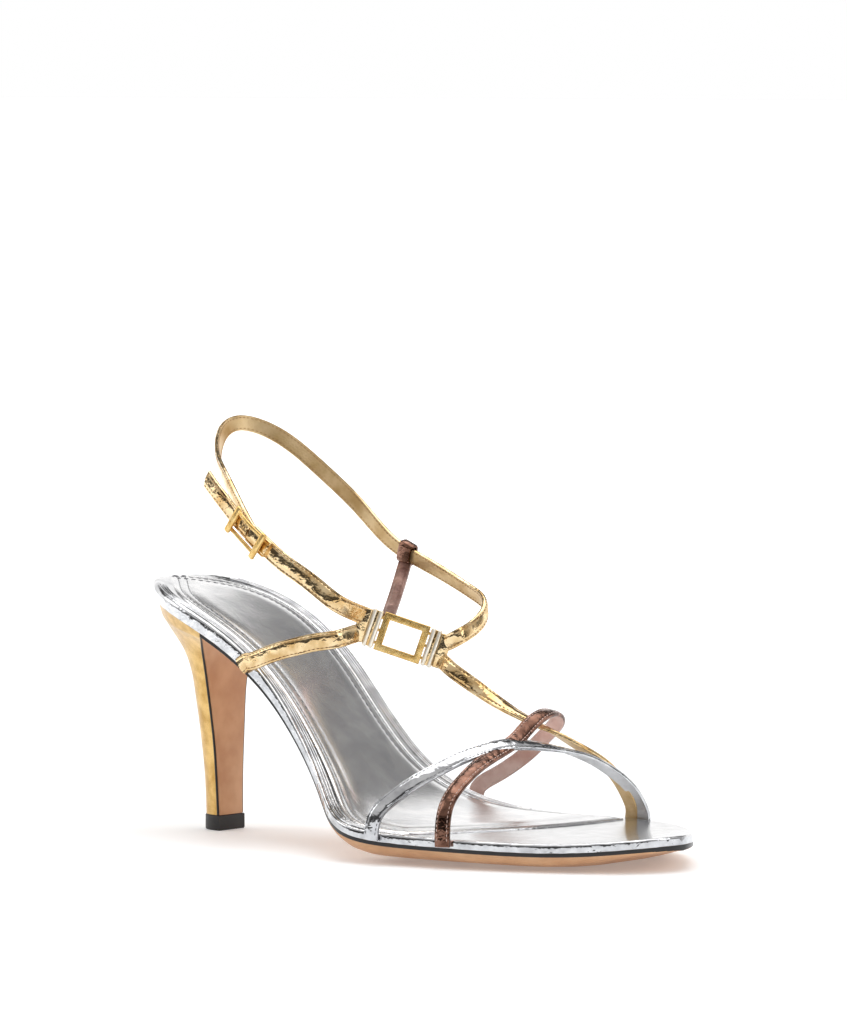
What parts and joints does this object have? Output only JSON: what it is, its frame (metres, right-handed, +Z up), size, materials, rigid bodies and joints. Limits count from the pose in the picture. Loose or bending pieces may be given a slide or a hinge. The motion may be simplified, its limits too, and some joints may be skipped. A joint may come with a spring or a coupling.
{
  "type": "strappy heeled sandal",
  "caption": "Right strappy high-heeled sandal in silver, gold and bronze foil leather, with an ankle sling, a buckle and an open rectangular link.",
  "frame": {"origin": "middle of the underside of the whole shoe's bounding box, on the floor", "axes": "+X towards the toe, +Y towards the inner (medial) side of the foot, +Z up from the floor"},
  "size_m": [0.1998, 0.089, 0.1249],
  "materials": {
    "silver_foil_leather": "mirror foil",
    "silver_satin_leather": "satin",
    "tan_sole_leather": "smooth",
    "gold_foil_heel": "foil",
    "black_rubber": "matte",
    "foil_leather_straps": "mirror foil",
    "gold_foil_leather": "mirror foil",
    "bronze_foil_leather": "foil",
    "gold_plated_brass": "brushed"
  },
  "bodies": {
    "root": {"insole_board": "silver_foil_leather", "sock": "silver_satin_leather", "outsole": "tan_sole_leather", "heel": "gold_foil_heel", "top_piece": "black_rubber", "upper": "foil_leather_straps", "side_strap": "gold_foil_leather", "keeper_strap": "bronze_foil_leather", "link": "gold_plated_brass", "buckle": "gold_plated_brass"}
  },
  "joints": []
}
